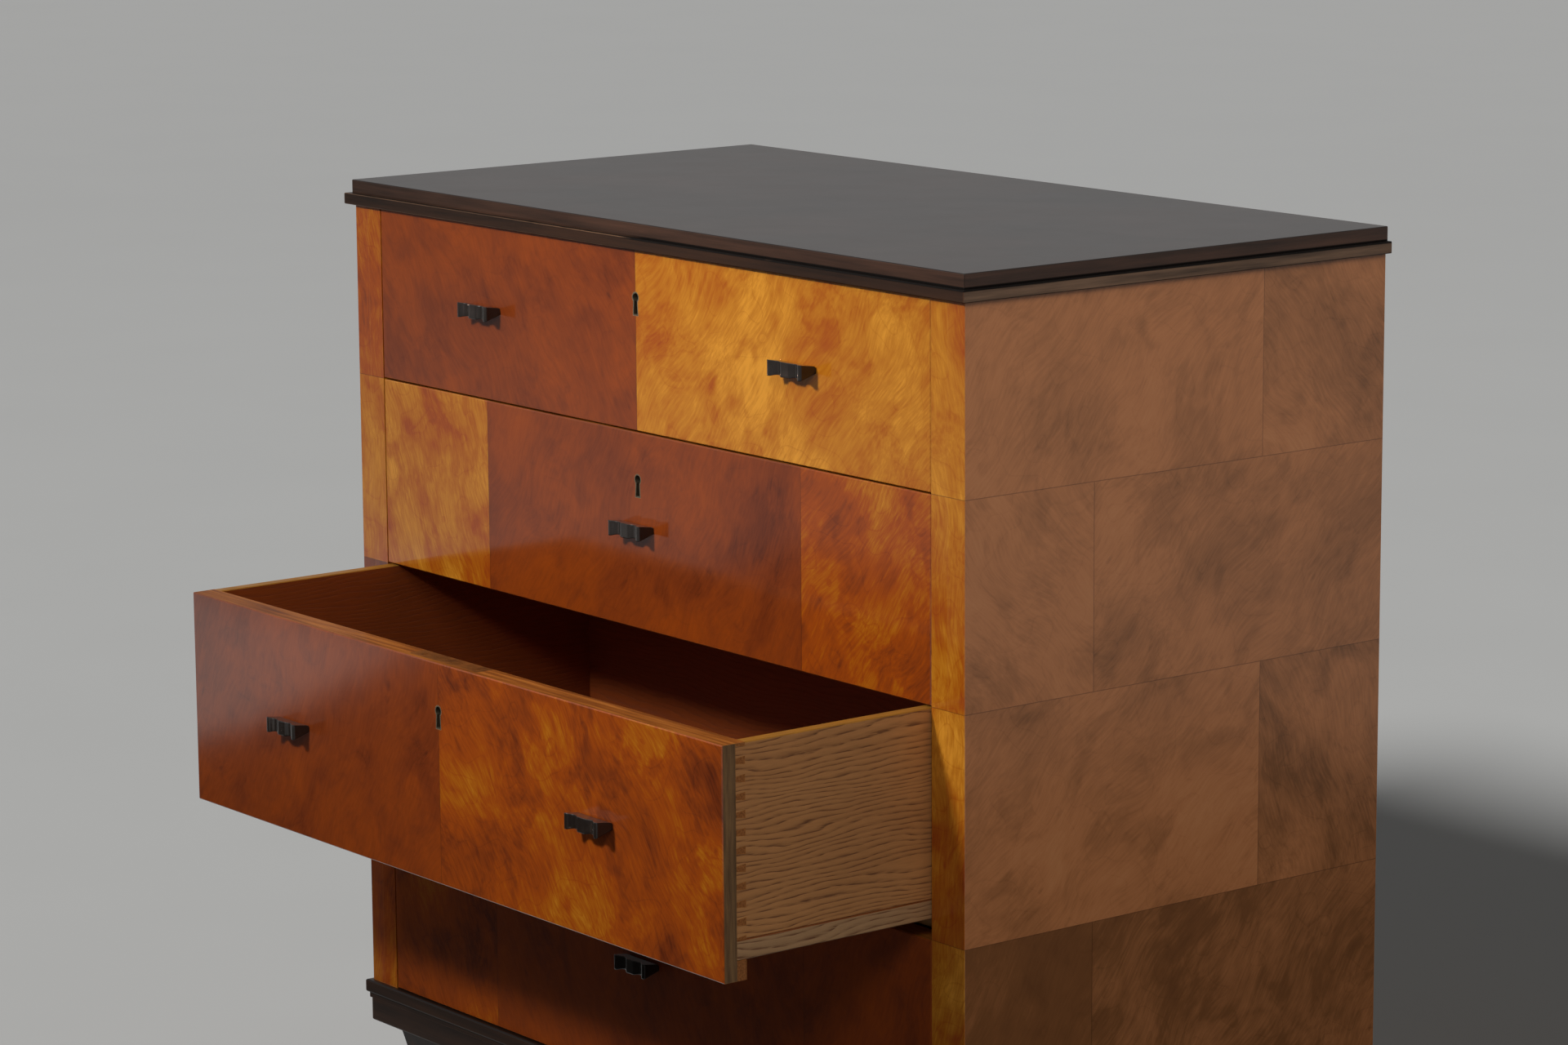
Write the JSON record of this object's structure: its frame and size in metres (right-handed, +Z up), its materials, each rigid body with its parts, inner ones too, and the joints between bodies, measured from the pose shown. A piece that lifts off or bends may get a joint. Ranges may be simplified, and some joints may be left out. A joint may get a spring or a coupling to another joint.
{
  "type": "chest of drawers",
  "caption": "Highboy chest of graduated full-width drawers in chequered birch veneer, with a stepped black top, a black moulded base, tapered legs and small carved pulls.",
  "frame": {"origin": "on the floor, under the middle of the case's width and depth", "axes": "+X to the right seen from the front, +Y to the back, +Z up"},
  "size_m": [0.864, 0.671, 0.933],
  "materials": {
    "birch_veneer": "glossy lacquer",
    "ebonised_wood": "satin black stain",
    "oak": "matt",
    "pine": "matt",
    "brass": "aged",
    "dark_bronze": "dark patina"
  },
  "bodies": {
    "case": {"back_panel": "pine", "base_moulding_front": "ebonised_wood", "base_moulding_left": "ebonised_wood", "base_moulding_right": "ebonised_wood", "base_rail_back": "pine", "bottom_board": "pine", "corner_blocks": "pine", "drawer_guides": "pine", "drawer_rails": "pine", "drawer_runners": "pine", "legs": "ebonised_wood", "side_left": "birch_veneer", "side_right": "birch_veneer", "stile_left": "birch_veneer", "stile_right": "birch_veneer", "top_board": "ebonised_wood", "top_moulding_front": "ebonised_wood", "top_moulding_left": "ebonised_wood", "top_moulding_right": "ebonised_wood", "top_rail_back": "pine"},
    "drawer_1": {"drawer_1_back": "oak", "drawer_1_bottom": "oak", "drawer_1_escutcheon": "dark_bronze", "drawer_1_front": "birch_veneer", "drawer_1_lock": "brass", "drawer_1_pulls": "ebonised_wood", "drawer_1_side_left": "oak", "drawer_1_side_right": "oak", "drawer_1_slips": "oak"},
    "lock_bolt_1": {"drawer_1_lock_bolt": "brass"},
    "drawer_2": {"drawer_2_back": "oak", "drawer_2_bottom": "oak", "drawer_2_escutcheon": "dark_bronze", "drawer_2_front": "birch_veneer", "drawer_2_lock": "brass", "drawer_2_pulls": "ebonised_wood", "drawer_2_side_left": "oak", "drawer_2_side_right": "oak", "drawer_2_slips": "oak"},
    "lock_bolt_2": {"drawer_2_lock_bolt": "brass"},
    "drawer_3": {"drawer_3_back": "oak", "drawer_3_bottom": "oak", "drawer_3_escutcheon": "dark_bronze", "drawer_3_front": "birch_veneer", "drawer_3_lock": "brass", "drawer_3_pulls": "ebonised_wood", "drawer_3_side_left": "oak", "drawer_3_side_right": "oak", "drawer_3_slips": "oak"},
    "lock_bolt_3": {"drawer_3_lock_bolt": "brass"},
    "drawer_4": {"drawer_4_back": "oak", "drawer_4_bottom": "oak", "drawer_4_escutcheon": "dark_bronze", "drawer_4_front": "birch_veneer", "drawer_4_lock": "brass", "drawer_4_pulls": "ebonised_wood", "drawer_4_side_left": "oak", "drawer_4_side_right": "oak", "drawer_4_slips": "oak"},
    "lock_bolt_4": {"drawer_4_lock_bolt": "brass"}
  },
  "joints": [
    {"name": "drawer_1_slide", "type": "slide", "parent": "case", "child": "drawer_1", "axis": [0, -1, 0], "range_m": [0, 0.33]},
    {"name": "lock_bolt_1_throw", "type": "slide", "parent": "drawer_1", "child": "lock_bolt_1", "axis": [0, 0, 1], "range_m": [0, 0.007]},
    {"name": "drawer_2_slide", "type": "slide", "parent": "case", "child": "drawer_2", "axis": [0, -1, 0], "range_m": [0, 0.33]},
    {"name": "lock_bolt_2_throw", "type": "slide", "parent": "drawer_2", "child": "lock_bolt_2", "axis": [0, 0, 1], "range_m": [0, 0.007]},
    {"name": "drawer_3_slide", "type": "slide", "parent": "case", "child": "drawer_3", "axis": [0, -1, 0], "range_m": [-0.205, 0.125]},
    {"name": "lock_bolt_3_throw", "type": "slide", "parent": "drawer_3", "child": "lock_bolt_3", "axis": [0, 0, 1], "range_m": [0, 0.007]},
    {"name": "drawer_4_slide", "type": "slide", "parent": "case", "child": "drawer_4", "axis": [0, -1, 0], "range_m": [0, 0.33]},
    {"name": "lock_bolt_4_throw", "type": "slide", "parent": "drawer_4", "child": "lock_bolt_4", "axis": [0, 0, 1], "range_m": [0, 0.007]}
  ]
}
